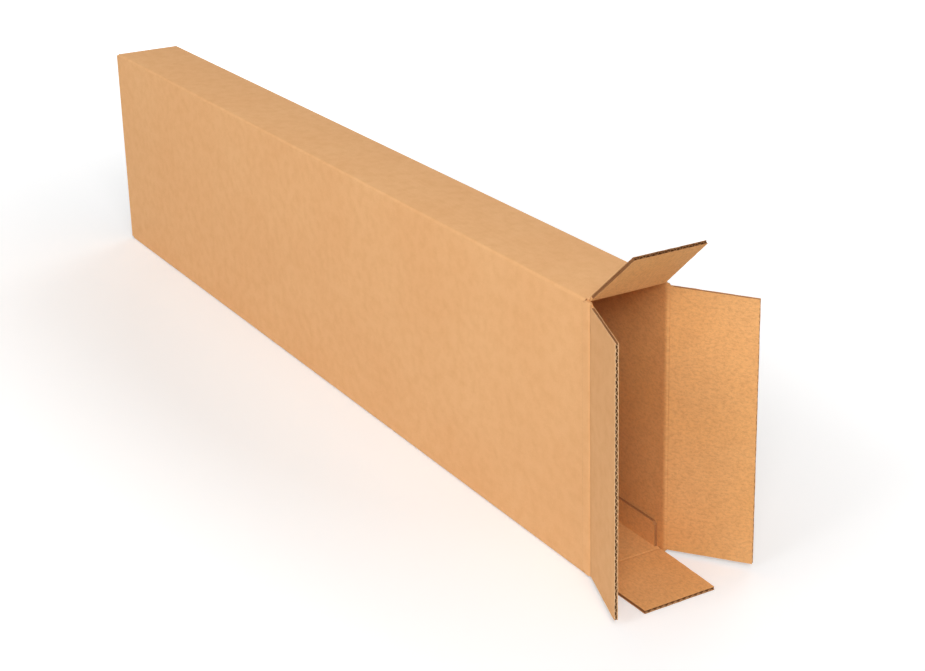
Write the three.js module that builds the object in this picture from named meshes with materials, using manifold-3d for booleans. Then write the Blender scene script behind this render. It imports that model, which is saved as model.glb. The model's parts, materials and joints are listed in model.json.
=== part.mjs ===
// A long corrugated box that loads from one narrow end. It lies on a narrow long panel, its near
// end open with four flaps spread, its far end folded in and glued shut.
// Millimetres. +X runs along the box towards the open end, -Y is the front panel, +Z is up.
// The origin is the middle of the bottom panel's underside.

import * as THREE from "three";
import { mergeVertices } from "three/addons/utils/BufferGeometryUtils.js";
import Module from "manifold-3d";

// The space inside, and the board that it is folded from.
const INSIDE_LENGTH = 1422;
const INSIDE_WIDTH = 102;
const INSIDE_HEIGHT = 330;
const BOARD = 4;
const FOLD_RADIUS = 4;

// The fluting between the board's two facings, as it shows at a flap's cut edges.
const FACING = 0.7;
const FLUTE_PITCH = 8;
const FLUTE_WALL = 1;
const SIDE_GROOVE = 2.6;
const CRUSHED_SCORE = 8;

// The flaps. A slot parts each from the next, and their sides taper a little towards the tip.
const SLOT = 5;
const ROOT_SLOT = 2;
const SLOT_CLEARANCE = 1;
const FLAP_TAPER = 2;
const TIP_CLEARANCE = 1.5;
const CREASE_GAP = 0.2;
const STACK_GAP = 0.3;

// How far each flap stands open, in degrees outwards from straight in line with its panel.
const TOP_OPEN = 42;
const FRONT_OPEN = 20;
const BACK_OPEN = 35;
const BOTTOM_OPEN = 0;

// The glue tab stands up from the bottom panel, inside the back panel.
const TAB_HEIGHT = 31;
const TAB_SETBACK = 7;
const TAB_CHAMFER = 4;

// What is glued or folded from one sheet is sunk this far into its neighbour, as one solid.
const JOIN = 0.1;

const ARC_STEPS = 6;

const width = INSIDE_WIDTH + 2 * BOARD;
const height = INSIDE_HEIGHT + 2 * BOARD;
const panelLength = INSIDE_LENGTH + 2 * BOARD;
const flapLength = width - BOARD - TIP_CLEARANCE;
const seamY = width / 2 - BOARD;
const endZone = FOLD_RADIUS + 2 * BOARD;

// Each panel: the way to the inside, the middle of its outer face, its size across, and its place
// in the stack of closed flaps. The narrow pair closes first, then the back, then the front.
const top = { inward: [0, 0, -1], face: [0, 0, height], across: width, layer: 0 };
const bottom = { inward: [0, 0, 1], face: [0, 0, 0], across: width, layer: 0 };
const front = { inward: [0, 1, 0], face: [0, -width / 2, height / 2], across: height, layer: 2 };
const back = { inward: [0, -1, 0], face: [0, width / 2, height / 2], across: height, layer: 1 };
const panels = [top, bottom, front, back];

const wasm = await Module();
wasm.setup();

function solidOf(geometry) {
  geometry.deleteAttribute("normal");
  geometry.deleteAttribute("uv");
  const merged = mergeVertices(geometry);
  const vertProperties = new Float32Array(merged.attributes.position.array);
  const triVerts = new Uint32Array(merged.index.array);
  return new wasm.Manifold(new wasm.Mesh({ numProp: 3, vertProperties, triVerts }));
}

function geometryOf(solid) {
  const mesh = solid.getMesh();
  const geometry = new THREE.BufferGeometry();
  geometry.setAttribute("position", new THREE.BufferAttribute(mesh.vertProperties, 3));
  geometry.setIndex(new THREE.BufferAttribute(mesh.triVerts, 1));
  const faceted = geometry.toNonIndexed();
  faceted.computeVertexNormals();
  return faceted;
}

function outline(points) {
  return new THREE.Shape(points.map(([x, y]) => new THREE.Vector2(x, y)));
}

// The rounding of a fold about a centre, turning from one angle in degrees to another.
function rounding(x, y, from, to) {
  return Array.from({ length: ARC_STEPS + 1 }, (_, i) => {
    const angle = THREE.MathUtils.degToRad(from + ((to - from) * i) / ARC_STEPS);
    return [x + FOLD_RADIUS * Math.cos(angle), y + FOLD_RADIUS * Math.sin(angle)];
  });
}

// Extrudes shapes from low to high along the third of the three axes that they are drawn in.
function extruded(shapes, low, high, [first, second, third], place = new THREE.Matrix4()) {
  const geometry = new THREE.ExtrudeGeometry(shapes, { depth: high - low, bevelEnabled: false });
  geometry.translate(0, 0, low);
  geometry.applyMatrix4(new THREE.Matrix4().makeBasis(first, second, third));
  return solidOf(geometry.applyMatrix4(place));
}

const X = new THREE.Vector3(1, 0, 0);
const Y = new THREE.Vector3(0, 1, 0);
const Z = new THREE.Vector3(0, 0, 1);
const inPlan = [X, Y, Z];
const acrossBox = [Y, Z, X];
const inSide = [X, Z, Y.clone().negate()];

// A crease's own frame: X leaves the panel, Y runs along the crease, Z points to the inside.
// Its origin is on the outer face, in the middle of the crease.
function creaseX(panel, end) {
  const step = end > 0 ? BOARD + STACK_GAP : BOARD - JOIN;
  return end * (panelLength / 2 + panel.layer * step);
}

function creaseFrame(panel, end) {
  const out = new THREE.Vector3(end, 0, 0);
  const inward = new THREE.Vector3(...panel.inward);
  const along = inward.clone().cross(out);
  const frame = new THREE.Matrix4().makeBasis(out, along, inward);
  return frame.setPosition(creaseX(panel, end), panel.face[1], panel.face[2]);
}

// The hollows of the fluting: rows of triangles, base down and base up in turn.
function fluteHollows(span) {
  const low = FACING;
  const high = BOARD - FACING;
  const reach = (high - low) * (1 - FLUTE_WALL / FLUTE_PITCH);
  const half = (FLUTE_PITCH - FLUTE_WALL) / 2;
  const count = Math.floor((span - 2 * (SIDE_GROOVE + FLUTE_WALL)) / FLUTE_PITCH - 0.5);
  const start = (-(count + 0.5) * FLUTE_PITCH) / 2;
  const hollows = [];
  for (let i = 0; i < count; i += 1) {
    const down = start + (i + 0.5) * FLUTE_PITCH;
    const up = down + FLUTE_PITCH / 2;
    hollows.push(outline([[down - half, low], [down + half, low], [down, low + reach]]));
    hollows.push(outline([[up - half, high], [up, high - reach], [up + half, high]]));
  }
  return hollows;
}

// A flap in its crease's frame, standing straight out. A wide flap's root flares out to its fold,
// but only within the slot, so that it turns clear of the narrow flaps beside it.
function flapSolid(panel) {
  const flared = panel.layer > 0;
  const root = panel.across / 2 - (flared ? ROOT_SLOT : SLOT);
  const side = panel.across / 2 - SLOT;
  const tip = side - FLAP_TAPER;
  const flare = SLOT - SLOT_CLEARANCE;
  const plan = outline([
    [0, -root], [flare, -side], [flapLength, -tip],
    [flapLength, tip], [flare, side], [0, root],
  ]);
  const plank = outline([
    [CREASE_GAP, 0], [flapLength, 0], [flapLength, BOARD], [CREASE_GAP + BOARD, BOARD],
  ]);
  const sheet = extruded(plank, -panel.across / 2, panel.across / 2, inSide);
  const trimmed = sheet.intersect(extruded(plan, -BOARD, 2 * BOARD, inPlan));
  const past = flapLength + BOARD;
  const flutes = extruded(fluteHollows(2 * tip), CRUSHED_SCORE, past, acrossBox);
  const slope = FLAP_TAPER / (flapLength - flare);
  const sideAt = (x) => side - slope * (x - flare);
  const groove = [
    [CRUSHED_SCORE, sideAt(CRUSHED_SCORE) - SIDE_GROOVE], [past, sideAt(past) - SIDE_GROOVE],
    [past, panel.across], [CRUSHED_SCORE, panel.across],
  ];
  const mirrored = groove.map(([x, y]) => [x, -y]).reverse();
  const low = FACING;
  const high = BOARD - FACING;
  const grooves = [groove, mirrored].map((points) => extruded(outline(points), low, high, inPlan));
  return grooves.reduce((solid, cutter) => solid.subtract(cutter), trimmed.subtract(flutes));
}

// The four panels' section: three rounded folds, and the back panel's cut edge at the seam.
function wrapOutline() {
  const r = FOLD_RADIUS;
  const half = width / 2;
  return outline([
    [half, 0],
    ...rounding(half - r, height - r, 0, 90),
    ...rounding(r - half, height - r, 90, 180),
    ...rounding(r - half, r, 180, 270),
  ]);
}

function wrap() {
  const shape = wrapOutline();
  const inner = width / 2 - BOARD;
  const hollow = [[-inner, BOARD], [inner, BOARD], [inner, height - BOARD], [-inner, height - BOARD]];
  shape.holes.push(new THREE.Path(hollow.map(([y, z]) => new THREE.Vector2(y, z))));
  const reach = panelLength / 2 - endZone;
  return extruded(shape, -reach, reach, acrossBox);
}

// A panel's last stretch before an open crease, thinned to its outer face where it folds.
function openLip(panel) {
  const start = -endZone - panel.layer * (BOARD + STACK_GAP) - JOIN;
  const profile = outline([
    [start, 0], [-CREASE_GAP, 0], [-CREASE_GAP - BOARD, BOARD], [start, BOARD],
  ]);
  const half = panel.across / 2 - ROOT_SLOT;
  return extruded(profile, -half, half, inSide, creaseFrame(panel, 1));
}

// The same stretch at the closed end, which rounds into the root of its folded flap.
function closedCorner(panel) {
  const r = FOLD_RADIUS;
  const start = -endZone - panel.layer * BOARD - JOIN;
  const corner = outline([
    [start, 0], ...rounding(-r, r, -90, 0), [0, CRUSHED_SCORE], [-BOARD, CRUSHED_SCORE],
    [-BOARD, BOARD], [start, BOARD],
  ]);
  const half = panel.across / 2 - ROOT_SLOT;
  return extruded(corner, -half, half, inSide, creaseFrame(panel, -1));
}

function closedFlap(panel) {
  const folded = new THREE.Matrix4().makeRotationY(-Math.PI / 2);
  const place = creaseFrame(panel, -1).multiply(folded);
  return solidOf(geometryOf(flapSolid(panel)).applyMatrix4(place));
}

// The bottom panel ends just short of the back panel, rounding up into the fold of the glue tab.
function seamCut() {
  const near = seamY - FOLD_RADIUS;
  const fold = [...rounding(near, FOLD_RADIUS, -90, 0), [seamY, -BOARD], [near, -BOARD]];
  const slit = [
    [seamY - STACK_GAP, -BOARD], [seamY, -BOARD], [seamY, BOARD + JOIN],
    [seamY - STACK_GAP, BOARD + JOIN],
  ];
  const cuts = [fold, slit].map(
    (points) => extruded(outline(points), -panelLength, panelLength, acrossBox),
  );
  return cuts[0].add(cuts[1]);
}

function glueTab() {
  const end = panelLength / 2 - TAB_SETBACK;
  const low = BOARD - JOIN;
  const high = BOARD + TAB_HEIGHT;
  const side = outline([
    [-end, low], [end, low], [end, high - TAB_CHAMFER], [end - TAB_CHAMFER, high],
    [TAB_CHAMFER - end, high], [-end, high - TAB_CHAMFER],
  ]);
  return extruded(side, -seamY - JOIN, BOARD - seamY, inSide);
}

function sleeveSolid() {
  const joined = (solids) => solids.reduce((all, solid) => all.add(solid));
  const ends = joined(panels.flatMap((panel) => [openLip(panel), closedCorner(panel)]));
  const rounded = ends.intersect(extruded(wrapOutline(), -panelLength, panelLength, acrossBox));
  const panelsOnly = wrap().add(rounded).subtract(seamCut());
  return joined([panelsOnly, glueTab(), ...panels.map(closedFlap)]);
}

function piece(name, solid, colour) {
  const material = new THREE.MeshStandardMaterial({ color: colour, roughness: 0.9, metalness: 0 });
  const mesh = new THREE.Mesh(geometryOf(solid), material);
  mesh.name = name;
  return mesh;
}

// A mouth flap hangs in the frame of its crease, turned open about the crease line.
function mouthFlap(name, panel, openDegrees, colour) {
  const frame = new THREE.Group();
  creaseFrame(panel, 1).decompose(frame.position, frame.quaternion, frame.scale);
  const flap = piece(name, flapSolid(panel), colour);
  flap.rotation.y = THREE.MathUtils.degToRad(openDegrees);
  frame.add(flap);
  return frame;
}

const box = new THREE.Group();
box.add(piece("sleeve", sleeveSolid(), "#dfac78"));
box.add(mouthFlap("top_flap", top, TOP_OPEN, "#c88d5c"));
box.add(mouthFlap("bottom_flap", bottom, BOTTOM_OPEN, "#d29a60"));
box.add(mouthFlap("front_flap", front, FRONT_OPEN, "#c98f60"));
box.add(mouthFlap("back_flap", back, BACK_OPEN, "#dca068"));

export default box;
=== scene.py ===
"""A long corrugated box that loads from a narrow end, modelled board by board on its frame.

The panels are one folded sheet with a glue tab. Each flap is two liners with a fluted medium
between them, and a scored strip bends between panel and flap at every crease of the mouth.
"""

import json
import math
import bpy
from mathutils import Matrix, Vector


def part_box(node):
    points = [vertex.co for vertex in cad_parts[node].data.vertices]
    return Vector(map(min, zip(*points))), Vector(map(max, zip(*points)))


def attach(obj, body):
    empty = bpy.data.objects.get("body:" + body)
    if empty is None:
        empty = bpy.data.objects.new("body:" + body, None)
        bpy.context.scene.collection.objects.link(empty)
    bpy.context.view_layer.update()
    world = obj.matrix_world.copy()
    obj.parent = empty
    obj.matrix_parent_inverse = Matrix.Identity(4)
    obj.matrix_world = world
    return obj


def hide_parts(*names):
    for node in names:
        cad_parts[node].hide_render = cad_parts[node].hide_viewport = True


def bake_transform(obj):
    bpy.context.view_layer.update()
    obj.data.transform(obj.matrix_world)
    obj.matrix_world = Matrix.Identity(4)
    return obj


bl_info = {
    "name": "Side-loading corrugated box",
    "version": (1, 0, 0),
    "blender": (4, 5, 0),
    "location": "View3D > Sidebar > Carton",
    "description": "Models the panels, flaps, creases and stage of a side-loading corrugated box",
    "category": "Object",
}

import bmesh
import bpy
import numpy as np
from bpy.props import FloatProperty, FloatVectorProperty, PointerProperty
from mathutils import Matrix, Vector

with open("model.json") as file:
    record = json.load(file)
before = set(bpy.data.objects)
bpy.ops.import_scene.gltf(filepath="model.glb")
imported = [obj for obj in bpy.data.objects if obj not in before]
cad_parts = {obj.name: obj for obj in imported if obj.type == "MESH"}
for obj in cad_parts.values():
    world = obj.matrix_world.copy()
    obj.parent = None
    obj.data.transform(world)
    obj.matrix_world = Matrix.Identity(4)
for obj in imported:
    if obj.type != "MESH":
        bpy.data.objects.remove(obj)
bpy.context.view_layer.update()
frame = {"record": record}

SLEEVE_LOW, SLEEVE_HIGH = (Vector(corner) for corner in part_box("sleeve"))
WIDTH = SLEEVE_HIGH.y - SLEEVE_LOW.y
HEIGHT = SLEEVE_HIGH.z - SLEEVE_LOW.z
CREASES = {joint["name"]: joint for joint in frame["record"]["behaviour"]["joints"]}

TINY = 1e-5
SNAP = 1e-4  # reach for finding a row of points by its place
FOLD_STEPS = 6
SMOOTH_BELOW = math.radians(40)
PANEL_STEP = 0.06  # between the cuts along the panels
CREASE_STEP = 0.025  # between the cuts along a crease
CORNER_GAP = 0.0015  # from a narrow panel's crease back to where its rounded corners end
CORNER_STEP = 0.0004  # over which a wide panel's crease strip widens past a corner
TUCK = 0.00006  # how far a crease strip's ends go in under their neighbours' faces
FLOOR_DROP = 0.0004

# Across a crease, in shares of the bend: how deep the score goes inside, and the dent outside.
SCORE = {-1.0: 0.04, -0.66: 0.3, -0.33: 0.8, 0.0: 1.0, 0.33: 0.8, 0.66: 0.3, 1.0: 0.04}
DENT = {-1.0: 0.12, -0.66: 0.45, -0.33: 0.85, 0.0: 1.0, 0.33: 0.8, 0.66: 0.4, 1.0: 0.1}
PAST_BEND = 1.3  # the outermost rows, which don't bend

# Each lamp's name, the setting with its power, its side and height in degrees, and its size.
LAMPS = (
    ("key_light", "key", 63, 35, 5.0),
    ("fill_light", "fill", 5, 30, 5.0),
    ("top_light", "top", 45, 80, 6.0),
    ("back_light", "back", 215, 35, 5.0),
)
LAMP_AIM = Vector((0.45, 0, 0.15))
LAMP_DISTANCE = 9
CAMERA_PLACE = (2.2282, -1.0884, 1.0437)
CAMERA_TURN = (59.759, 18.64, -1.449)  # yaw, pitch and roll in degrees, solved from the photo
SENSOR = 36  # mm


def opening(joint):
    """How far a flap stands open at rest: its range starts with it shut, square to the panel."""
    return math.radians(-joint["range_deg"][0] - 90)


class Panel:
    """One of the four panels: where its outer face is, and where it lies on the unfolded sheet."""

    def __init__(self, name, inward, face, across, sheet_middle, layer):
        self.name = name
        self.inward = Vector(inward)
        self.face = Vector(face)
        self.across = across
        self.sheet_middle = sheet_middle
        self.layer = layer
        self.joint = CREASES[f"{name}_crease"]
        self.crease = self.joint["pos_m"][0]
        self.open = opening(self.joint)

    def frame(self, end, crease):
        """The crease's own frame: X leaves the panel, Y runs along the crease, Z points inwards."""
        out = Vector((end, 0, 0))
        along = self.inward.cross(out)
        turn = Matrix((out, along, self.inward)).transposed().to_4x4()
        return Matrix.Translation((end * crease, self.face.y, self.face.z)) @ turn


PANELS = {
    "back": Panel("back", (0, -1, 0), (0, WIDTH / 2, HEIGHT / 2), HEIGHT, HEIGHT / 2, 1),
    "top": Panel("top", (0, 0, -1), (0, 0, HEIGHT), WIDTH, HEIGHT + WIDTH / 2, 0),
    "front": Panel(
        "front", (0, 1, 0), (0, -WIDTH / 2, HEIGHT / 2), HEIGHT, 1.5 * HEIGHT + WIDTH, 2
    ),
    "bottom": Panel("bottom", (0, 0, 1), (0, 0, 0), WIDTH, 2 * HEIGHT + 1.5 * WIDTH, 0),
}
HALF_LENGTH = PANELS["top"].crease


def length(name, description, default):
    return FloatProperty(
        name=name, description=description, default=default, min=0, unit="LENGTH", precision=5
    )


def power(name, description, default):
    return FloatProperty(
        name=name, description=description, default=default, min=0, unit="POWER"
    )


def colour(name, description, default):
    return FloatVectorProperty(
        name=name, description=description, default=default, size=3, subtype="COLOR",
        min=0, max=1,
    )


class CartonBoard(bpy.types.PropertyGroup):
    """Sizes of the board and of what is cut and scored in it."""

    thickness: length("Board", "Thickness of the corrugated board", 0.004)
    liner: length("Liner", "Thickness of each liner as it shows at a cut edge", 0.00048)
    medium: length("Medium", "Thickness of the fluted paper as it shows at a cut edge", 0.0005)
    flute: length("Flute pitch", "Distance from one flute to the next", 0.008)
    fold: length("Fold radius", "Outer radius of the folds between panels", 0.004)
    slot: length("Slot", "From a panel's edge to its flap's side", 0.005)
    root_slot: length("Root slot", "From a wide panel's edge to its flap's root", 0.002)
    taper: length("Flap taper", "How much narrower a flap is at its tip, each side", 0.002)
    flap: length("Flap length", "From the crease to the flap's free edge", 0.1045)
    recess: length("Recess", "How far the flutes stop short of a cut edge", 0.0003)
    ragged: length("Raggedness", "How far a cut edge wanders", 0.00022)
    far_step: length("Closed layer", "Height of one closed flap on the next", 0.0039)


class CartonScore(bpy.types.PropertyGroup):
    """Sizes of the scored creases and of the glue tab."""

    bend: length("Bend", "Half the width of the board that bends at a crease", 0.0028)
    root: length("Root", "From the crease to where the flap's open flutes start", 0.006)
    inside: length("Score inside", "Depth of the score on the inner face", 0.0005)
    outside: length("Score outside", "Depth of the dent on the outer face", 0.0016)
    wrap_end: length("Wrap end", "How far the folded panels stop short of the creases", 0.006)
    tab_height: length("Tab height", "Height of the glue tab over the bottom panel", 0.031)
    tab_setback: length("Tab setback", "From the crease to the end of the glue tab", 0.007)
    tab_chamfer: length("Tab chamfer", "Cut corner of the glue tab", 0.004)


class CartonKraft(bpy.types.PropertyGroup):
    """Colours of the papers."""

    liner: colour("Outer liner", "Kraft liner on the outside", (0.83, 0.45, 0.20))
    inner: colour("Inner liner", "Coarser kraft liner on the inside", (0.84, 0.43, 0.15))
    pale: colour("Pale fibre", "Where the liner is scuffed or thin", (0.90, 0.54, 0.26))
    dark: colour("Dark fibre", "Clouds and flecks in the liner", (0.68, 0.33, 0.125))
    # Painted shade: the fluted paper is far darker than kraft, so that the open flutes look dark as
    # if in shadow.
    medium: colour("Medium", "Fluted paper between the liners", (0.24, 0.10, 0.035))
    torn: colour("Cut liner", "Bare fibre where a liner is cut", (0.90, 0.58, 0.32))
    # Painted shade: the colour of a cut edge as if its open flutes and its face were in shadow.
    edge: colour("Cut edge", "Edge of the board where its flutes show dark", (0.34, 0.15, 0.055))


class CartonStage(bpy.types.PropertyGroup):
    """The floor, the lights and the camera."""

    floor: length("Floor", "Length of the floor's side", 60)
    key: power("Key", "Power of the main light", 505)
    fill: power("Fill", "Power of the front light", 230)
    top: power("Top", "Power of the light above", 95)
    back: power("Back", "Power of the back light", 125)
    sky: FloatProperty(
        name="Sky", description="Strength of the light from all round", default=0.2, min=0
    )
    glow: FloatProperty(
        name="Floor glow", description="What the camera sees added to the floor near the box",
        default=0.2, min=0,
    )
    lens: length("Lens", "Focal length on a 36 mm sensor, in metres", 0.07033)
    shift: FloatProperty(name="Shift", description="Vertical shift of the camera", default=-0.12)


# Modelling: start a shape, cut it, choose points by their place, and move them.


def start(name, add, size, place, **options):
    """Adds a primitive of unit size, sized and placed."""
    bpy.ops.object.select_all(action="DESELECT")
    add(size=1, location=place, **options)
    piece = bpy.context.object
    piece.name = piece.data.name = name
    piece.scale = size
    bpy.ops.object.transform_apply(location=True, rotation=True, scale=True)
    return piece


def only(piece):
    """Selects one object and makes it the active one."""
    bpy.ops.object.select_all(action="DESELECT")
    piece.select_set(True)
    bpy.context.view_layer.objects.active = piece


def edit():
    bpy.ops.object.mode_set(mode="EDIT")
    bpy.ops.mesh.select_mode(type="VERT")


def leave():
    bpy.ops.object.mode_set(mode="OBJECT")


def choose(piece, chosen):
    """Selects the points for which chosen(place) holds, in edit mode."""
    bpy.ops.mesh.select_all(action="DESELECT")
    shape = bmesh.from_edit_mesh(piece.data)
    for point in shape.verts:
        point.select = bool(chosen(point.co))
    shape.select_flush(True)
    bmesh.update_edit_mesh(piece.data)


def move(piece, chosen, by):
    choose(piece, chosen)
    bpy.ops.transform.translate(value=by)


# With no window, the spin and rotate operators turn the other way about.
OPERATOR_SENSE = -1


def spin(angle, centre, axis):
    """Sweeps the chosen edge round an axis, as a fold."""
    bpy.ops.mesh.spin(
        steps=FOLD_STEPS, angle=OPERATOR_SENSE * angle, center=centre, axis=axis
    )


def cut(places, normal):
    for place in places:
        bpy.ops.mesh.select_all(action="SELECT")
        bpy.ops.mesh.bisect(plane_co=place, plane_no=normal)


def near(value, wanted, reach=TINY):
    return abs(value - wanted) < reach


def spaced(low, high, step):
    """Even divisions of a stretch, about a step apart, without its ends."""
    count = max(1, round((high - low) / step))
    return [low + (high - low) * i / count for i in range(1, count)]


def finish_modifiers(piece):
    only(piece)
    for modifier in list(piece.modifiers):
        bpy.ops.object.modifier_apply(modifier=modifier.name)


def thicken(piece, thickness, offset, rim):
    """Gives a sheet its thickness, and its cut edges their own paper."""
    piece.data.materials.append(liner_paper())
    piece.data.materials.append(rim)
    wall = piece.modifiers.new("Wall", "SOLIDIFY")
    wall.thickness, wall.offset = thickness, offset
    wall.use_even_offset = True
    wall.material_offset_rim = 1
    finish_modifiers(piece)


def points_of(piece):
    places = np.empty(3 * len(piece.data.vertices))
    piece.data.vertices.foreach_get("co", places)
    return places.reshape(-1, 3)


def write_sheet(piece, places):
    """Keeps where each point lies on the unfolded sheet, for the paper's pattern to follow."""
    sheet = piece.data.attributes.new("sheet", "FLOAT_VECTOR", "POINT")
    sheet.data.foreach_set("vector", np.asarray(places, np.float32).ravel())


def put(piece, matrix):
    """Moves a finished mesh from a crease's frame to its place in the box."""
    only(piece)
    piece.matrix_world = matrix
    bpy.ops.object.transform_apply(location=True, rotation=True, scale=True)


def join(name, parts):
    only(parts[0])
    for part in parts:
        part.select_set(True)
    bpy.ops.object.join()
    whole = bpy.context.object
    whole.name = whole.data.name = name
    return whole


def dress(piece):
    """Gives a piece its paper, unless it has one, and rounds its shading."""
    if not piece.data.materials:
        piece.data.materials.append(liner_paper())
    only(piece)
    bpy.ops.object.shade_smooth_by_angle(angle=SMOOTH_BELOW)


# Papers.


def node(tree, kind, place, settings=(), **values):
    made = tree.nodes.new(kind)
    made.location = place
    for name, value in dict(settings).items():
        setattr(made, name, value)
    for name, value in values.items():
        made.inputs[name.replace("_", " ")].default_value = value
    return made


def mixed(tree, place, factor, first, second):
    """A colour mix by a socket's factor. first and second are sockets or plain colours."""
    made = tree.nodes.new("ShaderNodeMix")
    made.location, made.data_type = place, "RGBA"
    for socket, value in ((0, factor), (6, first), (7, second)):
        if isinstance(value, bpy.types.NodeSocket):
            tree.links.new(value, made.inputs[socket])
        else:
            made.inputs[socket].default_value = (*value, 1)
    return made.outputs[2]


def span(tree, place, value, low, high, to_low, to_high):
    made = tree.nodes.new("ShaderNodeMapRange")
    made.location = place
    tree.links.new(value, made.inputs["Value"])
    for name, number in (
        ("From Min", low), ("From Max", high), ("To Min", to_low), ("To Max", to_high),
    ):
        made.inputs[name].default_value = number
    return made.outputs["Result"]


def paper(name, base, pale, dark, inner=None):
    """Kraft paper: clouds, fibres and flecks that follow the unfolded sheet, over faint flutes."""
    material = bpy.data.materials.get(name)
    if material:
        return material
    flute = bpy.context.scene.carton_board.flute
    material = bpy.data.materials.new(name)
    material.use_nodes = True
    tree = material.node_tree
    link = tree.links.new
    shader = tree.nodes["Principled BSDF"]
    shader.inputs["Specular IOR Level"].default_value = 0.25
    sheet = node(tree, "ShaderNodeAttribute", (-1500, 0), {"attribute_name": "sheet"})
    flat = sheet.outputs["Vector"]

    def noise(place, scale, detail, roughness, stretch=None):
        source = flat
        if stretch:
            run = node(tree, "ShaderNodeMapping", (-1300, place), Scale=stretch)
            link(flat, run.inputs["Vector"])
            source = run.outputs["Vector"]
        made = node(
            tree, "ShaderNodeTexNoise", (-1100, place),
            Scale=scale, Detail=detail, Roughness=roughness,
        )
        link(source, made.inputs["Vector"])
        return made.outputs["Fac"]

    clouds = noise(500, 7, 3, 0.55)
    mottle = noise(250, 60, 5, 0.6)
    fibres = noise(0, 800, 4, 0.7, (1.0, 0.7, 1.0))
    flecks = noise(-250, 460, 2, 0.5)
    # The washboard of the flutes: this texture repeats every pi / 10 at scale 1.
    wave = node(
        tree, "ShaderNodeTexWave", (-1100, -500),
        {"wave_type": "BANDS", "bands_direction": "Y", "wave_profile": "SIN"},
        Scale=math.pi / 10 / flute, Distortion=0.2, Detail=1.0,
    )
    link(flat, wave.inputs["Vector"])

    tone = base
    if inner:
        # The inner liner is the cheaper paper: coarser, and blotchy along the flutes. It starts
        # past the middle of the board's depth, which is the sheet's Z.
        depth = node(tree, "ShaderNodeSeparateXYZ", (-1100, -750))
        link(flat, depth.inputs["Vector"])
        inside = span(tree, (-900, -750), depth.outputs["Z"], 0.0025, 0.0032, 0, 1)
        blotches = noise(-950, 330, 4, 0.85, (0.6, 1.0, 1.0))
        blotched = node(tree, "ShaderNodeMath", (-500, -750), {"operation": "MULTIPLY"})
        link(inside, blotched.inputs[0])
        link(span(tree, (-700, -950), blotches, 0.44, 0.62, 0, 0.55), blotched.inputs[1])
        tone = mixed(tree, (-900, 700), inside, base, inner)
    # Each pattern, the stretch of it that shows, from and to how much, and the tone it brings.
    for i, (pattern, low, high, from_share, to_share, brought) in enumerate((
        (clouds, 0.35, 0.68, 0, 0.3, pale),
        (mottle, 0.42, 0.72, 0, 0.3, dark),
        (fibres, 0.4, 0.75, 0, 0.3, dark),
        (flecks, 0.66, 0.8, 0, 0.35, dark),
        (flecks, 0.22, 0.36, 0.55, 0, pale),
    )):
        share = span(tree, (-900, 500 - 200 * i), pattern, low, high, from_share, to_share)
        tone = mixed(tree, (-700 + 180 * i, 500 - 100 * i), share, tone, brought)
    if inner:
        tone = mixed(tree, (150, 0), blotched.outputs[0], tone, [0.85 * part for part in dark])
        # Painted shade: a dark band on the outer liner beside each mouth crease, from the point
        # mark set on the crease strips.
        bruise = node(tree, "ShaderNodeAttribute", (0, -150), {"attribute_name": "bruise"})
        crease_shading = span(tree, (150, -150), bruise.outputs["Fac"], 0, 1, 0, 0.8)
        tone = mixed(tree, (300, 0), crease_shading, tone, [0.75 * part for part in dark])
    link(tone, shader.inputs["Base Color"])
    link(span(tree, (-500, -100), mottle, 0.3, 0.7, 0.8, 0.96), shader.inputs["Roughness"])

    grain = node(tree, "ShaderNodeBump", (-100, -400), Strength=0.2, Distance=0.0003)
    link(fibres, grain.inputs["Height"])
    ribs = node(tree, "ShaderNodeBump", (100, -400), Strength=0.25, Distance=0.0002)
    link(wave.outputs["Fac"], ribs.inputs["Height"])
    link(grain.outputs["Normal"], ribs.inputs["Normal"])
    link(ribs.outputs["Normal"], shader.inputs["Normal"])
    return material


def liner_paper():
    kraft = bpy.context.scene.carton_kraft
    return paper("kraft_liner", kraft.liner, kraft.pale, kraft.dark, kraft.inner)


def torn_paper():
    kraft = bpy.context.scene.carton_kraft
    return paper("kraft_torn", kraft.torn, kraft.pale, kraft.liner)


# Painted shade: cut edges coloured dark as if in shadow.
def shaded_edge_paper():
    kraft = bpy.context.scene.carton_kraft
    return paper("kraft_edge", kraft.edge, kraft.dark, [0.6 * part for part in kraft.edge])


# Painted shade: the flutes' paper dark, standing in for the shadow inside the open flutes.
def shaded_medium_paper():
    kraft = bpy.context.scene.carton_kraft
    return paper("kraft_medium", kraft.medium, kraft.edge, [0.7 * part for part in kraft.medium])


def seen_by_camera(tree, place):
    """1 for what the camera sees, straight or in a reflection, and 0 for the light it casts."""
    path = tree.nodes.new("ShaderNodeLightPath")
    seen = node(tree, "ShaderNodeMath", place, {"operation": "MAXIMUM"})
    tree.links.new(path.outputs["Is Camera Ray"], seen.inputs[0])
    tree.links.new(path.outputs["Is Glossy Ray"], seen.inputs[1])
    return seen.outputs[0]


# Pieces.


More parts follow.
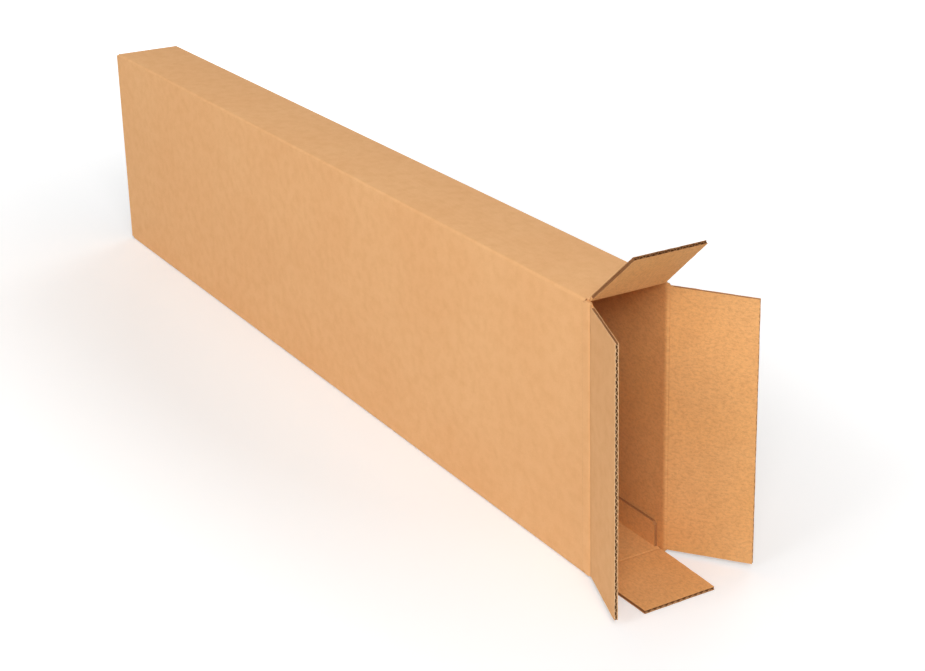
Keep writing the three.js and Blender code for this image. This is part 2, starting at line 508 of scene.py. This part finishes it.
def liner_sheet(name, low, high, half_low, half_high, height, seed):
    """One liner of a flap in its crease's frame, tapered and a little ragged at its cut edges."""
    board = bpy.context.scene.carton_board
    rows = max(2, round((high - low) / board.flute))
    columns = max(2, round(2 * half_low / board.flute))
    piece = start(
        name, bpy.ops.mesh.primitive_grid_add,
        (high - low, 2 * half_low, 1), ((low + high) / 2, 0, height),
        x_subdivisions=rows, y_subdivisions=columns,
    )
    edit()
    for i in range(1, rows + 1):
        at = low + (high - low) * i / rows
        share = 1 - (1 - half_high / half_low) * i / rows
        choose(piece, lambda place: near(place.x, at, SNAP))
        bpy.ops.transform.resize(value=(1, share, 1), center_override=(at, 0, height))
    slope = (half_low - half_high) / (high - low)
    choose(piece, lambda place: place.x > low + TINY and (
        place.x > high - TINY or abs(place.y) > half_high - SNAP + slope * (high - place.x)
    ))
    bpy.ops.transform.vertex_random(offset=board.ragged, uniform=0.3, normal=0, seed=seed)
    leave()
    return piece


def medium_sheet(name, low, high, half_low, half_high):
    """The fluted paper of a flap: one flute shaped, then repeated and trimmed to the sides."""
    board = bpy.context.scene.carton_board
    steps = 8
    middle = board.thickness / 2
    swing = middle - board.liner - 0.4 * board.medium
    piece = start(
        name, bpy.ops.mesh.primitive_grid_add,
        (high - low, board.flute, 1), ((low + high) / 2, 0, middle),
        x_subdivisions=4, y_subdivisions=steps,
    )
    edit()
    for i in range(steps + 1):
        at = board.flute * (i / steps - 0.5)
        rise = swing * math.sin(2 * math.pi * i / steps)
        if abs(rise) > TINY:
            move(piece, lambda place: near(place.y, at, SNAP), (0, 0, rise))
    leave()
    count = math.ceil(2 * half_low / board.flute) + 1
    row = piece.modifiers.new("Flutes", "ARRAY")
    row.count = count
    row.relative_offset_displace = (0, 1, 0)
    row.use_merge_vertices = True
    row.merge_threshold = SNAP
    finish_modifiers(piece)
    edit()
    bpy.ops.mesh.select_all(action="SELECT")
    bpy.ops.transform.translate(value=(0, -board.flute * (count - 1) / 2, 0))
    slope = (half_low - half_high) / (high - low)
    for side in (-1, 1):
        bpy.ops.mesh.select_all(action="SELECT")
        bpy.ops.mesh.bisect(
            plane_co=(low, side * (half_low - board.recess), 0),
            plane_no=(slope, side, 0), clear_outer=True,
        )
    leave()
    return piece


def side_wall(name, low, high, half_low, half_high, side):
    """The wall of the last flute, which the cut along a flap's side leaves standing."""
    board = bpy.context.scene.carton_board
    piece = start(
        name, bpy.ops.mesh.primitive_cube_add,
        (high - low, board.medium, board.thickness - 1.6 * board.liner),
        ((low + high) / 2, side * (half_low - 1.5 * board.medium), board.thickness / 2),
    )
    edit()
    move(piece, lambda place: near(place.x, high, SNAP), (0, side * (half_high - half_low), 0))
    leave()
    # Painted shade: the flute wall takes the dark fluting paper, as if in shadow.
    piece.data.materials.append(shaded_medium_paper())
    return piece


def flap_board(name, panel, to_sheet, seed):
    """A flap past its root: two liners with open flutes between them, in its crease's frame."""
    board, score = bpy.context.scene.carton_board, bpy.context.scene.carton_score
    half_low = panel.across / 2 - board.slot
    half_high = half_low - board.taper
    low, high = score.root - board.recess, board.flap
    # The front flap's cut edges are pale and torn; the others' are painted shade, dark as if in
    # shadow.
    rim = torn_paper() if panel.layer == 2 else shaded_edge_paper()
    parts = []
    for i, height in enumerate((0.0, board.thickness - board.liner)):
        liner = liner_sheet(f"{name}_liner{i}", low, high, half_low, half_high, height, seed + i)
        write_sheet(liner, to_sheet(points_of(liner)))
        thicken(liner, board.liner, 1, rim)
        parts.append(liner)
    medium = medium_sheet(f"{name}_medium", low, high - board.recess, half_low, half_high)
    write_sheet(medium, to_sheet(points_of(medium)))
    thicken(medium, board.medium, 0, rim)
    # Painted shade: the medium's faces take the dark fluting paper, as if in shadow.
    medium.data.materials[0] = shaded_medium_paper()
    parts.append(medium)
    for side in (-1, 1):
        wall = side_wall(
            f"{name}_side{side}", low, high - board.recess, half_low, half_high, side
        )
        write_sheet(wall, to_sheet(points_of(wall)))
        parts.append(wall)
    return join(name, parts)


def on_sheet(panel, end, crease):
    """Turns points of a panel's crease frame to points of the unfolded sheet."""

    def turned(places):
        return np.stack(
            [
                end * (crease + places[:, 0]),
                panel.sheet_middle + end * places[:, 1],
                places[:, 2],
            ],
            axis=1,
        )

    return turned


def turn_row(piece, at, angle):
    """Turns a row of a strip about the crease line, opening outwards."""
    if abs(angle) > TINY:
        choose(piece, lambda place: near(place.x, at, SNAP))
        bpy.ops.transform.rotate(
            value=OPERATOR_SENSE * angle, orient_axis="Y", center_override=(0, 0, 0)
        )


def crease_strip(panel):
    """The scored board between a panel and its flap: it bends about the crease line."""
    board, score = bpy.context.scene.carton_board, bpy.context.scene.carton_score
    wide = panel.layer > 0
    low = HALF_LENGTH - score.wrap_end - panel.crease - board.recess
    high = score.root
    half = panel.across / 2 - board.fold - (0 if wide else board.recess)
    thick = board.thickness
    piece = start(
        f"{panel.name}_crease", bpy.ops.mesh.primitive_cube_add,
        (high - low, 2 * half, thick), ((low + high) / 2, 0, thick / 2),
    )
    bend = score.bend
    rows = [share * bend for share in (-PAST_BEND, *SCORE, PAST_BEND)]
    corner = HALF_LENGTH - CORNER_GAP - panel.crease
    if wide:
        rows = [corner, corner + CORNER_STEP] + rows
    edit()
    cut([(row, 0, 0) for row in rows], (1, 0, 0))
    cut([(0, at, 0) for at in spaced(-half, half, CREASE_STEP)], (0, 1, 0))
    for share, depth in SCORE.items():
        move(
            piece,
            lambda place: place.z > thick - TINY and near(place.x, share * bend, SNAP),
            (0, 0, -depth * score.inside),
        )
    for share, depth in DENT.items():
        move(
            piece, lambda place: place.z < TINY and near(place.x, share * bend, SNAP),
            (0, 0, depth * score.outside),
        )
    # The ends tuck in under the faces of the panel and of the flap's liners.
    for end in (low, high):
        for face, tuck in ((thick, -TUCK), (0, TUCK)):
            move(
                piece, lambda place: near(place.x, end, SNAP) and near(place.z, face, SNAP),
                (0, 0, tuck),
            )
    side = panel.across / 2 - board.slot
    root = panel.across / 2 - board.root_slot if wide else side
    for sign in (-1, 1):
        def edge(place):
            return place.y * sign > half - SNAP
        if wide:
            # Up to the crease line the strip is as wide as its root, and past it as its flap.
            move(
                piece,
                lambda place: edge(place) and corner + SNAP < place.x < 0.34 * bend,
                (0, sign * (root - half), 0),
            )
            move(
                piece,
                lambda place: near(place.y * sign, half, 2 * SNAP) and place.x > 0.6 * bend,
                (0, sign * (side - half), 0),
            )
        else:
            move(
                piece, lambda place: edge(place) and place.x > -0.34 * bend,
                (0, sign * (side - half), 0),
            )
    leave()
    places = points_of(piece)
    write_sheet(piece, on_sheet(panel, 1, panel.crease)(places))
    # Painted shade: the outer liner is darkened on the flap's side of the crease line, where the
    # crease's shadow falls.
    bruise = piece.data.attributes.new("bruise", "FLOAT", "POINT")
    for mark, place in zip(bruise.data, places):
        mark.value = float(place[2] < thick / 2 and -TINY < place[0] < high - TINY)
    edit()
    for row in rows + [high]:
        share = min(1.0, max(0.0, (row + bend) / (2 * bend)))
        turn_row(piece, row, panel.open * share * share * (3 - 2 * share))
    leave()
    put(piece, panel.frame(1, panel.crease))
    return piece


def far_corner(panel, crease):
    """The closed end's root: a panel's last stretch, folded square into its glued flap."""
    board, score = bpy.context.scene.carton_board, bpy.context.scene.carton_score
    radius = board.fold
    low = HALF_LENGTH - score.wrap_end - crease - board.recess
    half = panel.across / 2 - board.fold
    piece = start(
        f"far_{panel.name}_root", bpy.ops.mesh.primitive_plane_add,
        (-radius - low, 2 * half, 1), ((low - radius) / 2, 0, 0),
    )
    edit()
    choose(piece, lambda place: near(place.x, -radius))
    spin(-math.pi / 2, (-radius, 0, radius), (0, 1, 0))
    choose(piece, lambda place: near(place.x, 0) and near(place.z, radius))
    bpy.ops.mesh.extrude_region_move(
        TRANSFORM_OT_translate={"value": (0, 0, score.root - radius)}
    )
    bpy.ops.mesh.select_all(action="SELECT")
    bpy.ops.mesh.remove_doubles(threshold=TINY)
    bpy.ops.mesh.normals_make_consistent(inside=False)
    leave()
    places = points_of(piece)
    places[:, 0] += places[:, 2]
    places[:, 2] = 0
    write_sheet(piece, on_sheet(panel, -1, crease)(places))
    flat = min(piece.data.polygons, key=lambda face: face.center.x)
    thicken(piece, board.thickness, math.copysign(1, flat.normal.z), liner_paper())
    return piece


class CARTON_OT_wrap(bpy.types.Operator):
    """Folds the four panels and the glue tab out of one sheet"""

    bl_idname = "carton.wrap"
    bl_label = "Panels and glue tab"

    def execute(self, context):
        board, score = context.scene.carton_board, context.scene.carton_score
        radius, thick = board.fold, board.thickness
        reach = HALF_LENGTH - score.wrap_end
        y, top = WIDTH / 2, HEIGHT
        piece = start(
            "box_panels", bpy.ops.mesh.primitive_plane_add,
            (2 * reach, top - radius, 1), (0, y, (top - radius) / 2),
            rotation=(math.pi / 2, 0, 0),
        )
        edit()
        choose(piece, lambda place: place.z > top - radius - TINY)
        seam = y - thick

        def fold(centre):
            spin(math.pi / 2, centre, (1, 0, 0))

        def on_to(step):
            bpy.ops.mesh.extrude_region_move(TRANSFORM_OT_translate={"value": step})

        fold((0, y - radius, top - radius))
        on_to((0, 2 * radius - WIDTH, 0))
        fold((0, radius - y, top - radius))
        on_to((0, 0, 2 * radius - top))
        fold((0, radius - y, radius))
        on_to((0, seam - radius - (radius - y), 0))
        fold((0, seam - radius, radius))
        on_to((0, 0, score.tab_height + thick - radius - score.tab_chamfer))
        on_to((0, 0, score.tab_chamfer))
        bpy.ops.mesh.select_all(action="SELECT")
        bpy.ops.mesh.remove_doubles(threshold=TINY)
        bpy.ops.mesh.normals_make_consistent(inside=False)

        tab_end = HALF_LENGTH - score.tab_setback
        tab_top = thick + score.tab_height
        for sign in (-1, 1):
            def on_tab(place):
                return (
                    near(place.y, seam) and radius - TINY < place.z < tab_top + TINY
                    and place.x * sign > tab_end
                )
            move(piece, on_tab, (sign * (tab_end - reach), 0, 0))
            move(
                piece,
                lambda place: near(place.y, seam) and near(place.z, tab_top, SNAP)
                and place.x * sign > tab_end - SNAP,
                (-sign * score.tab_chamfer, 0, 0),
            )
        # The rounded corners run on a little past the flat panels, up to the slots.
        def on_corner(place):
            past_y = abs(place.y) > y - radius + SNAP
            past_z = place.z > top - radius + SNAP or place.z < radius - SNAP
            return past_y and past_z and not (place.y > 0 and place.z < radius)
        for sign in (-1, 1):
            move(
                piece, lambda place: on_corner(place) and place.x * sign > reach - SNAP,
                (sign * (score.wrap_end - CORNER_GAP), 0, 0),
            )
        leave()
        write_sheet(piece, self.unfolded(piece, seam))
        edit()
        cut([(at, 0, 0) for at in spaced(-reach, reach, PANEL_STEP)], (1, 0, 0))
        leave()
        outside = len(piece.data.vertices)
        # Painted shade: the sheet's cut edges, the glue tab's among them, are dark as if in shadow.
        thicken(piece, thick, -1, shaded_edge_paper())
        for inside in list(piece.data.attributes["sheet"].data)[outside:]:
            inside.vector[2] = thick
        dress(piece)
        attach(piece, "sleeve")
        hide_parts("sleeve")
        return {"FINISHED"}

    @staticmethod
    def unfolded(piece, seam):
        """Where each point of the folded outer face lies on the sheet, before it has thickness."""
        places = []
        for x, y, z in points_of(piece):
            if y > WIDTH / 2 - TINY:
                along = z
            elif near(y, seam) and z < HEIGHT / 2:
                along = 2 * (HEIGHT + WIDTH) + z
            elif y < TINY - WIDTH / 2:
                along = HEIGHT + WIDTH + HEIGHT - z
            elif z > HEIGHT / 2:
                along = HEIGHT + WIDTH / 2 - y
            else:
                along = 2 * HEIGHT + WIDTH + y + WIDTH / 2
            places.append((x, along, 0))
        return places


class CARTON_OT_far_end(bpy.types.Operator):
    """Folds in and glues the four flaps that close the far end"""

    bl_idname = "carton.far_end"
    bl_label = "Closed far end"

    def execute(self, context):
        board = context.scene.carton_board
        for seed, panel in enumerate(PANELS.values()):
            crease = HALF_LENGTH + panel.layer * board.far_step
            root = far_corner(panel, crease)
            put(root, panel.frame(-1, crease))
            dress(root)
            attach(root, "sleeve")
            name = f"far_{panel.name}_flap"
            flap = flap_board(name, panel, on_sheet(panel, -1, crease), 20 + 2 * seed)
            put(flap, panel.frame(-1, crease) @ Matrix.Rotation(-math.pi / 2, 4, "Y"))
            dress(flap)
            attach(flap, "sleeve")
        return {"FINISHED"}


class CARTON_OT_flaps(bpy.types.Operator):
    """Models the four open flaps of the mouth, with their liners and open flutes"""

    bl_idname = "carton.flaps"
    bl_label = "Mouth flaps"

    def execute(self, context):
        for seed, panel in enumerate(PANELS.values()):
            name = f"{panel.name}_flap_board"
            flap = flap_board(name, panel, on_sheet(panel, 1, panel.crease), 2 * seed)
            turned = Matrix.Rotation(panel.open, 4, "Y")
            put(flap, panel.frame(1, panel.crease) @ turned)
            dress(flap)
            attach(flap, panel.joint["child"])
            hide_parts(f"{panel.name}_flap")
        return {"FINISHED"}


class CARTON_OT_creases(bpy.types.Operator):
    """Scores the four creases of the mouth, bent as far as their flaps stand open at rest"""

    bl_idname = "carton.creases"
    bl_label = "Mouth creases"

    def execute(self, context):
        for panel in PANELS.values():
            strip = crease_strip(panel)
            dress(strip)
            place = panel.frame(1, panel.crease)
            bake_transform(strip)
        return {"FINISHED"}


def towards(side, height):
    """The direction at an angle from the front's outward side, and at an angle over the floor."""
    return Vector(
        (
            math.sin(side) * math.cos(height),
            -math.cos(side) * math.cos(height),
            math.sin(height),
        )
    )


class CARTON_OT_stage(bpy.types.Operator):
    """Lays the pale floor and sets the soft lights and the camera"""

    bl_idname = "carton.stage"
    bl_label = "Floor, lights and camera"

    def execute(self, context):
        stage = context.scene.carton_stage
        context.scene.view_settings.view_transform = "Standard"
        floor = start(
            "floor", bpy.ops.mesh.primitive_plane_add,
            (stage.floor, stage.floor, 1), (0, 0, -FLOOR_DROP),
        )
        floor.data.materials.append(self.floor_paint(stage.glow))
        self.light_world(context.scene, stage.sky)
        for name, setting, side, height, size in LAMPS:
            power = getattr(stage, setting)
            self.area(name, math.radians(side), math.radians(height), size, power)
        self.set_camera(context.scene, stage)
        return {"FINISHED"}

    @staticmethod
    def floor_paint(glow):
        """White, and for the camera alone brighter away from the box, so that it shows as white."""
        material = bpy.data.materials.new("pale_floor")
        material.use_nodes = True
        tree = material.node_tree
        shader = tree.nodes["Principled BSDF"]
        shader.inputs["Base Color"].default_value = (0.8, 0.8, 0.8, 1)
        shader.inputs["Roughness"].default_value = 1
        shader.inputs["Specular IOR Level"].default_value = 0
        shader.inputs["Emission Color"].default_value = (1, 1, 1, 1)
        seen = seen_by_camera(tree, (-200, -300))
        place = tree.nodes.new("ShaderNodeTexCoord")
        flat = node(tree, "ShaderNodeMapping", (-800, -500), Scale=(0.45, 1, 1))
        tree.links.new(place.outputs["Object"], flat.inputs["Vector"])
        far = node(tree, "ShaderNodeVectorMath", (-600, -500), {"operation": "LENGTH"})
        tree.links.new(flat.outputs["Vector"], far.inputs[0])
        glows = span(tree, (-400, -500), far.outputs["Value"], 0.25, 1.4, glow, 1.0)
        strength = node(tree, "ShaderNodeMath", (-50, -300), {"operation": "MULTIPLY"})
        tree.links.new(seen, strength.inputs[0])
        tree.links.new(glows, strength.inputs[1])
        tree.links.new(strength.outputs[0], shader.inputs["Emission Strength"])
        return material

    @staticmethod
    def light_world(scene, strength):
        """Even light from all round; the camera sees plain white behind the floor."""
        world = scene.world or bpy.data.worlds.new("World")
        scene.world = world
        world.use_nodes = True
        tree = world.node_tree
        tree.nodes.clear()
        out = node(tree, "ShaderNodeOutputWorld", (600, 0))
        light = node(tree, "ShaderNodeBackground", (200, 100), Strength=strength)
        light.inputs["Color"].default_value = (1, 1, 1, 1)
        white = node(tree, "ShaderNodeBackground", (200, -100), Strength=1.0)
        white.inputs["Color"].default_value = (1, 1, 1, 1)
        mix = tree.nodes.new("ShaderNodeMixShader")
        tree.links.new(seen_by_camera(tree, (0, 250)), mix.inputs[0])
        tree.links.new(light.outputs[0], mix.inputs[1])
        tree.links.new(white.outputs[0], mix.inputs[2])
        tree.links.new(mix.outputs[0], out.inputs["Surface"])

    @staticmethod
    def area(name, side, height, size, power):
        """A round soft light, turned from the front panel towards the mouth by `side`."""
        away = towards(side, height)
        bpy.ops.object.select_all(action="DESELECT")
        bpy.ops.object.light_add(type="AREA", location=LAMP_AIM + LAMP_DISTANCE * away)
        lamp = bpy.context.object
        lamp.name = name
        lamp.data.shape, lamp.data.size, lamp.data.energy = "DISK", size, power
        lamp.rotation_euler = away.to_track_quat("Z", "Y").to_euler()

    @staticmethod
    def set_camera(scene, stage):
        yaw, pitch, roll = (math.radians(angle) for angle in CAMERA_TURN)
        back = towards(yaw, pitch)
        level = Vector((math.cos(yaw), math.sin(yaw), 0))
        up = back.cross(level)
        right = math.cos(roll) * level + math.sin(roll) * up
        above = -math.sin(roll) * level + math.cos(roll) * up
        data = bpy.data.cameras.new("camera")
        data.sensor_width, data.lens, data.shift_y = SENSOR, 1000 * stage.lens, stage.shift
        camera = bpy.data.objects.new("camera", data)
        scene.collection.objects.link(camera)
        turn = Matrix((right, above, back)).transposed().to_4x4()
        camera.matrix_world = Matrix.Translation(CAMERA_PLACE) @ turn
        scene.camera = camera


class CARTON_PT_sidebar(bpy.types.Panel):
    """Lists the steps in the order in which they are made"""

    bl_idname = "CARTON_PT_sidebar"
    bl_label = "Side-loading box"
    bl_space_type = "VIEW_3D"
    bl_region_type = "UI"
    bl_category = "Carton"

    def draw(self, context):
        for step in STEPS:
            self.layout.operator(step)
        for group in SETTINGS:
            self.layout.label(text=group.__doc__.rstrip("."))
            values = getattr(context.scene, SETTINGS[group])
            for name in group.__annotations__:
                self.layout.prop(values, name)


SETTINGS = {
    CartonBoard: "carton_board",
    CartonScore: "carton_score",
    CartonKraft: "carton_kraft",
    CartonStage: "carton_stage",
}
OPERATORS = (CARTON_OT_wrap, CARTON_OT_far_end, CARTON_OT_flaps, CARTON_OT_creases, CARTON_OT_stage)
STEPS = [operator.bl_idname for operator in OPERATORS]


def register():
    for group, name in SETTINGS.items():
        bpy.utils.register_class(group)
        setattr(bpy.types.Scene, name, PointerProperty(type=group))
    for made in (*OPERATORS, CARTON_PT_sidebar):
        bpy.utils.register_class(made)


def unregister():
    for made in (CARTON_PT_sidebar, *reversed(OPERATORS)):
        bpy.utils.unregister_class(made)
    for group, name in reversed(SETTINGS.items()):
        delattr(bpy.types.Scene, name)
        bpy.utils.unregister_class(group)


def main():
    register()
    bpy.ops.carton.wrap()
    bpy.ops.carton.far_end()
    bpy.ops.carton.flaps()
    bpy.ops.carton.creases()
    bpy.ops.carton.stage()


if __name__ == "__main__":
    main()
